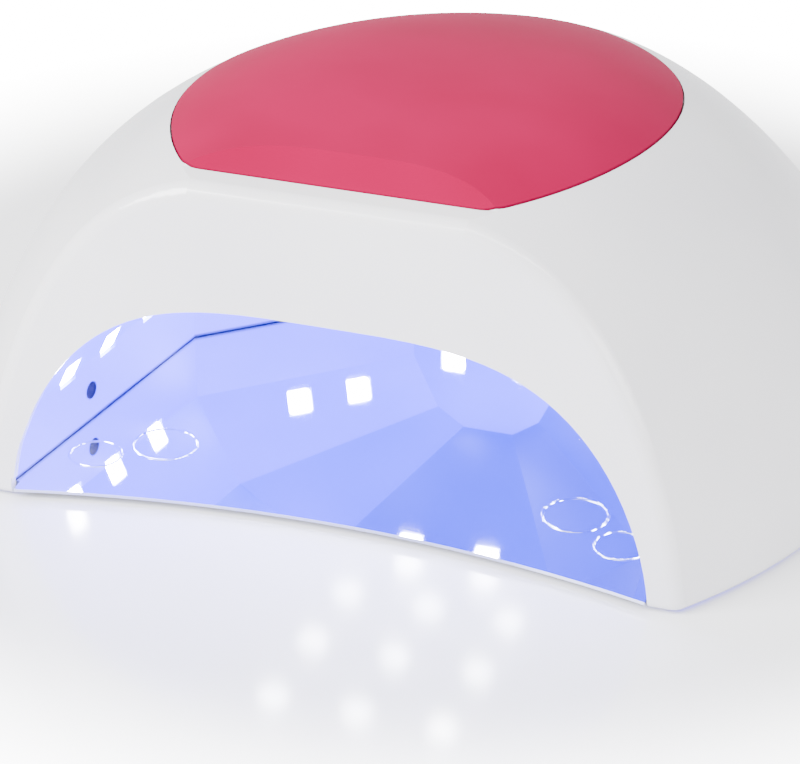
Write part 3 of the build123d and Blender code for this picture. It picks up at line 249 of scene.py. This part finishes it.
def wire_bundle(name, dark, light):
    """Thin insulated wires twisted together: grooves cross the bundle about every 2 mm, darkened with painted
    shade.
    """
    made, tree, shader, place = surface(name, Roughness=0.4, IOR=1.5)
    lay = node(tree, "ShaderNodeTexWave", {
        "Scale": per_mm(6.4), "Distortion": 0.6, "bands_direction": "DIAGONAL"}, {"Vector": place})
    # the dark tone in the grooves is painted shade
    tone = node(tree, "ShaderNodeValToRGB", {"stops": stops(dark, light, 0.1, 0.4)},
                {"Fac": lay.outputs["Fac"]})
    tree.links.new(tone.outputs["Color"], shader.inputs["Base Color"])
    bump = node(tree, "ShaderNodeBump", {"Strength": 0.5, "Distance": 0.1 * MM},
                {"Height": lay.outputs["Fac"]})
    tree.links.new(bump.outputs["Normal"], shader.inputs["Normal"])
    return made


def lit_segments():
    """Red light-emitting segments behind a diffuser: slightly uneven orange-red."""
    made, tree, shader, place = surface("lit_segments", Roughness=0.4, Emission_Strength=9.0)
    shader.inputs["Base Color"].default_value = linear("#5A0A0A")
    speck = node(tree, "ShaderNodeTexNoise", {"Scale": per_mm(1.5)}, {"Vector": place})
    tone = node(tree, "ShaderNodeValToRGB", {"stops": stops("#FF2A1A", "#FF5A3C")},
                {"Fac": speck.outputs["Fac"]})
    tree.links.new(tone.outputs["Color"], shader.inputs["Emission Color"])
    return made


SLOT_LOOKS = {
    "white_shell": pearl_white_abs(),
    "pink_panel": satin_pink_abs(),
    "reflector": metallised_reflector_painted_glow(),
    "mirror_steel": mirror_steel(),
    "lamp_lens": lit_lens(),
    # the tray's dark grey-violet tone is painted shade under the plate's overhanging rim, not the tray's own
    # colour
    "grey_tray": moulded_plastic("tray_abs_painted_shade", "#5C5B74", "#67667E", 0.45),
    "foot_rubber": moulded_plastic("foot_rubber", "#1B1B1D", "#242427", 0.75),
    "sensor_dark": moulded_plastic("infrared_lens", "#15122A", "#201B3A", 0.15),
    "button_grey": moulded_plastic("button_abs", "#B9B9C4", "#C4C4CE", 0.4),
    "window_smoke": moulded_plastic("smoked_acrylic", "#0B0A0F", "#121018", 0.08),
    "jack_black": moulded_plastic("jack_nylon", "#0D0D0F", "#151517", 0.5),
    "chip_black": moulded_plastic("epoxy_chip", "#101012", "#18181B", 0.45, 0.3),
    "ferrite": moulded_plastic("sintered_ferrite", "#26262A", "#34343A", 0.6, 0.8),
    "socket_white": moulded_plastic("nylon_socket", "#E4E1D6", "#EEEBE0", 0.45),
    "display_face": moulded_plastic("display_case", "#1C1C20", "#26262B", 0.35),
    "core_board": circuit_board("aluminium_core_board", "#DADADF", "#EDEDF0"),
    "green_board": circuit_board("fibreglass_board", "#0C4A2A", "#15653B"),
    "capacitor_can": plated_metal("capacitor_can", "#9A9CA3", "#B6B8BE", 0.3, 0.6),
    "screw_steel": plated_metal("zinc_plated_screw", "#8E9096", "#B0B2B8", 0.35, 0.3),
    "magnet_nickel": plated_metal("nickel_plated_magnet", "#A8A69E", "#C6C4BC", 0.18, 0.8),
    "pin_metal": plated_metal("tinned_contact", "#B4B2A8", "#D0CEC6", 0.22, 0.4),
    "wire_grey": wire_bundle("grey_wire_bundle", "#4C4E55", "#8A8D95"),
    "wire_red": wire_bundle("red_wire_bundle", "#5A1012", "#A8242A"),
}
NUMERAL_GREY = moulded_plastic("pad_printed_grey", "#5E5F68", "#6A6B74", 0.5)
SEGMENT_LIGHT = lit_segments()
BEZEL_CHROME = plated_metal("chromed_bezel", "#C4C6CC", "#DADCE0", 0.1, 1.0)

for part in frame["record"]["subparts"]:
    shown = frame["nodes"][part["node"]]
    shown.data.materials.clear()
    shown.data.materials.append(SLOT_LOOKS[part["material_slot"]])


# ---- Printed and lit details on the back face ---------------------------------------------------

SEGMENT_LONG = 3.6 * MM
SEGMENT_WIDE = 0.8 * MM
DIGIT_STEP = 6.4 * MM
DIGIT_LEAN = math.radians(6)
BAR_SHARE = 0.9              # of its full length and width, so that the bars do not touch
SKIN = 0.06 * MM             # how far printed and lit details stand off their surface
BEZEL_GAP = 0.5 * MM         # from the window's edge to the middle of the bead
BEZEL_CORNER = 1.6 * MM
BEZEL_STEPS = 6              # points on each quarter turn
BEAD_RADIUS = 0.3 * MM
BEAD_SUNK = 0.05 * MM
# which of the seven bars are lit for a digit: top, two upper, middle, two lower, bottom
LIT_BARS = {"6": (0, 1, 3, 4, 5, 6), "0": (0, 1, 2, 4, 5, 6)}
TIMER_NUMBERS = ("10", "30", "60", "99")
NUMBER_TALL = 2.6 * MM
DIGIT_SHARE = 0.7            # a digit's height as a share of its type size
WINDOW_DROP = 0.05 * MM      # how far the window lies below the face round it
NUMBER_DROP = 8.2 * MM       # from a button's middle down to its number


def middle_of(name):
    """Middle of the box round a node."""
    low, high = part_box(name)
    return (Vector(low) + Vector(high)) / 2


def back_face():
    """Frame of the sloping back face: right, up the slope, and outward against a button's press."""
    press = next(joint for joint in frame["joints"] if joint["name"] == "press_button_1")
    out = -Vector(press["axis"]).normalized()
    across = Vector((-1, 0, 0))
    return across, out.cross(across), out


def lie_on_back(piece, spot):
    """Turns a flat piece so that it lies on the back face with its middle at spot."""
    across, up, out = back_face()
    turn = Matrix((across, up, out)).transposed().to_4x4()
    piece.matrix_world = Matrix.Translation(spot) @ turn
    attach(piece, "lamp")


def link_mesh(name, work, look):
    """Turns a finished bmesh into an object in the scene."""
    mesh = bpy.data.meshes.new(name)
    work.to_mesh(mesh)
    work.free()
    mesh.materials.append(look)
    made = bpy.data.objects.new(name, mesh)
    bpy.context.scene.collection.objects.link(made)
    return made


def highest_out(name, out):
    """How far out along the back face's normal the outermost point of a node lies."""
    return max(point.co.dot(out) for point in frame["nodes"][name].data.vertices)


def digit(name, character, shift, spot):
    """One seven-segment digit: pointed bars, thin and slightly raised."""
    half, width = SEGMENT_LONG / 2, SEGMENT_WIDE / 2
    centres = [(0, 2 * half, 0), (-half, half, 1), (half, half, 1), (0, 0, 0),
               (-half, -half, 1), (half, -half, 1), (0, -2 * half, 0)]
    outline = [(-half, 0), (width - half, width), (half - width, width), (half, 0),
               (half - width, -width), (width - half, -width)]
    shrunk = [(BAR_SHARE * u, BAR_SHARE * v) for u, v in outline]
    work = bmesh.new()
    for bar in LIT_BARS[character]:
        x, y, upright = centres[bar]
        corners = [(v, u) if upright else (u, v) for u, v in shrunk]
        points = [(shift + x + u + (y + v) * math.tan(DIGIT_LEAN), y + v, 0) for u, v in corners]
        face = work.faces.new([work.verts.new(point) for point in points])
        raised = bmesh.ops.extrude_face_region(work, geom=[face])["geom"]
        lifted = [part for part in raised if isinstance(part, bmesh.types.BMVert)]
        bmesh.ops.translate(work, verts=lifted, vec=(0, 0, SKIN))
    bmesh.ops.recalc_face_normals(work, faces=work.faces)
    made = link_mesh(name, work, SEGMENT_LIGHT)
    lie_on_back(made, spot)


def display_digits():
    """Two lit digits on the window: the seconds left."""
    across, up, out = back_face()
    spot = middle_of("display_window")
    spot = spot + out * (highest_out("display_window", out) - spot.dot(out))
    digit("display_digit_tens", "6", -DIGIT_STEP / 2, spot)
    digit("display_digit_ones", "0", DIGIT_STEP / 2, spot)


def window_bezel():
    """Thin chromed frame round the window: a closed bead swept along a rounded rectangle."""
    across, up, out = back_face()
    corners = [point.co for point in frame["nodes"]["display_window"].data.vertices]
    spot = middle_of("display_window")
    half_wide = max(abs((corner - spot).dot(across)) for corner in corners) + BEZEL_GAP
    half_tall = max(abs((corner - spot).dot(up)) for corner in corners) + BEZEL_GAP
    path = bpy.data.curves.new("window_bezel", "CURVE")
    path.dimensions = "3D"
    path.bevel_depth = BEAD_RADIUS
    path.bevel_resolution = 3
    path.materials.append(BEZEL_CHROME)
    line = path.splines.new("POLY")
    line.points.add(4 * (BEZEL_STEPS + 1) - 1)
    line.use_cyclic_u = True
    count = 0
    for quarter, (side, rise) in enumerate(((1, 1), (-1, 1), (-1, -1), (1, -1))):
        for i in range(BEZEL_STEPS + 1):
            turn = math.pi / 2 * (quarter + i / BEZEL_STEPS)
            x = side * (half_wide - BEZEL_CORNER) + BEZEL_CORNER * math.cos(turn)
            y = rise * (half_tall - BEZEL_CORNER) + BEZEL_CORNER * math.sin(turn)
            line.points[count].co = (x, y, 0, 1)
            count += 1
    bezel = bpy.data.objects.new("window_bezel", path)
    bpy.context.scene.collection.objects.link(bezel)
    face = highest_out("display_window", out) - BEAD_SUNK
    lie_on_back(bezel, spot + out * (face - spot.dot(out)))


def timer_numbers():
    """A pad-printed number of seconds under each button."""
    across, up, out = back_face()
    face = highest_out("display_window", out) + WINDOW_DROP + SKIN / 2
    for place, number in enumerate(TIMER_NUMBERS, 1):
        spot = middle_of(f"timer_button_{place}")
        spot = spot + out * (face - spot.dot(out)) - up * NUMBER_DROP
        text = bpy.data.curves.new(f"timer_number_{place}", "FONT")
        text.body = number
        text.size = NUMBER_TALL / DIGIT_SHARE
        text.extrude = SKIN / 2
        text.align_x, text.align_y = "CENTER", "CENTER"
        text.materials.append(NUMERAL_GREY)
        made = bpy.data.objects.new(f"timer_number_{place}", text)
        bpy.context.scene.collection.objects.link(made)
        lie_on_back(made, spot)


# ---- Stage --------------------------------------------------------------------------------------


def pale_floor():
    """Glossy white table top that fades out to plain white away from the lamp."""
    made, tree, shader, place = surface("white_table", Roughness=0.13, IOR=1.5)
    shader.inputs["Base Color"].default_value = linear("#F2F2F6")
    shader.inputs["Emission Color"].default_value = linear("#FFFFFF")
    away = node(tree, "ShaderNodeVectorMath", {"operation": "LENGTH"}, {0: place})
    fade = node(tree, "ShaderNodeMapRange", {
        "interpolation_type": "SMOOTHSTEP", "From Min": FADE_START, "From Max": FADE_END,
        "To Min": 0.3, "To Max": BACKDROP},
        {"Value": away.outputs["Value"]})
    seen = node(tree, "ShaderNodeLightPath").outputs["Is Camera Ray"]
    strength = node(tree, "ShaderNodeMath", {"operation": "MULTIPLY"}, {0: fade.outputs["Result"], 1: seen})
    tree.links.new(strength.outputs["Value"], shader.inputs["Emission Strength"])
    mesh = bpy.data.meshes.new("floor")
    corners = [(x * FLOOR_REACH, y * FLOOR_REACH, 0) for x, y in ((-1, -1), (1, -1), (1, 1), (-1, 1))]
    mesh.from_pydata(corners, [], [(0, 1, 2, 3)])
    mesh.materials.append(made)
    floor = bpy.data.objects.new("floor", mesh)
    bpy.context.scene.collection.objects.link(floor)


def soft_light(name, size, power, spot, aim):
    """A rectangular soft box at spot, turned to face aim."""
    data = bpy.data.lights.new(name, "AREA")
    data.shape, data.size, data.size_y = "RECTANGLE", size[0], size[1]
    data.energy = power
    lamp = bpy.data.objects.new(name, data)
    lamp.location = spot
    lamp.rotation_euler = (Vector(aim) - Vector(spot)).to_track_quat("-Z", "Y").to_euler()
    bpy.context.scene.collection.objects.link(lamp)


def white_world():
    """Even white light, with a plain white backdrop."""
    world = bpy.data.worlds.new("white_room")
    world.use_nodes = True
    tree = world.node_tree
    backdrop = tree.nodes["Background"]
    backdrop.inputs["Color"].default_value = linear("#FFFFFF")
    seen = node(tree, "ShaderNodeLightPath").outputs["Is Camera Ray"]
    strength = node(tree, "ShaderNodeMapRange", {"To Min": ROOM_LIGHT, "To Max": BACKDROP}, {"Value": seen})
    tree.links.new(strength.outputs["Result"], backdrop.inputs["Strength"])
    bpy.context.scene.world = world


def set_camera():
    """Looks down at the arch from the right of centre."""
    azimuth, elevation = math.radians(VIEW_AZIMUTH), math.radians(VIEW_ELEVATION)
    aim = Vector(VIEW_AIM) * MM
    back = Vector((math.sin(azimuth) * math.cos(elevation), -math.cos(azimuth) * math.cos(elevation),
                   math.sin(elevation)))
    data = bpy.data.cameras.new("camera")
    data.lens, data.sensor_width = VIEW_LENS, SENSOR_WIDTH
    data.clip_start = CLIP_START
    camera = bpy.data.objects.new("camera", data)
    camera.location = aim + back * VIEW_DISTANCE
    camera.rotation_euler = (-back).to_track_quat("-Z", "Y").to_euler()
    bpy.context.scene.collection.objects.link(camera)
    bpy.context.scene.camera = camera


display_digits()
window_bezel()
timer_numbers()
pale_floor()
white_world()
set_camera()
# width and height of each soft box in metres, its power in watts, where it stands and where it aims
soft_light("key", (0.6, 0.6), 34.0, (-0.75, -0.75, 0.75), (0, 0, 0.05))
soft_light("fill", (0.9, 0.5), 9.0, (1.1, -0.8, 0.35), (0, 0, 0.05))
soft_light("edge_strip", (1.4, 0.12), 7.0, (0.15, -0.5, 0.9), (0, -0.05, 0.08))
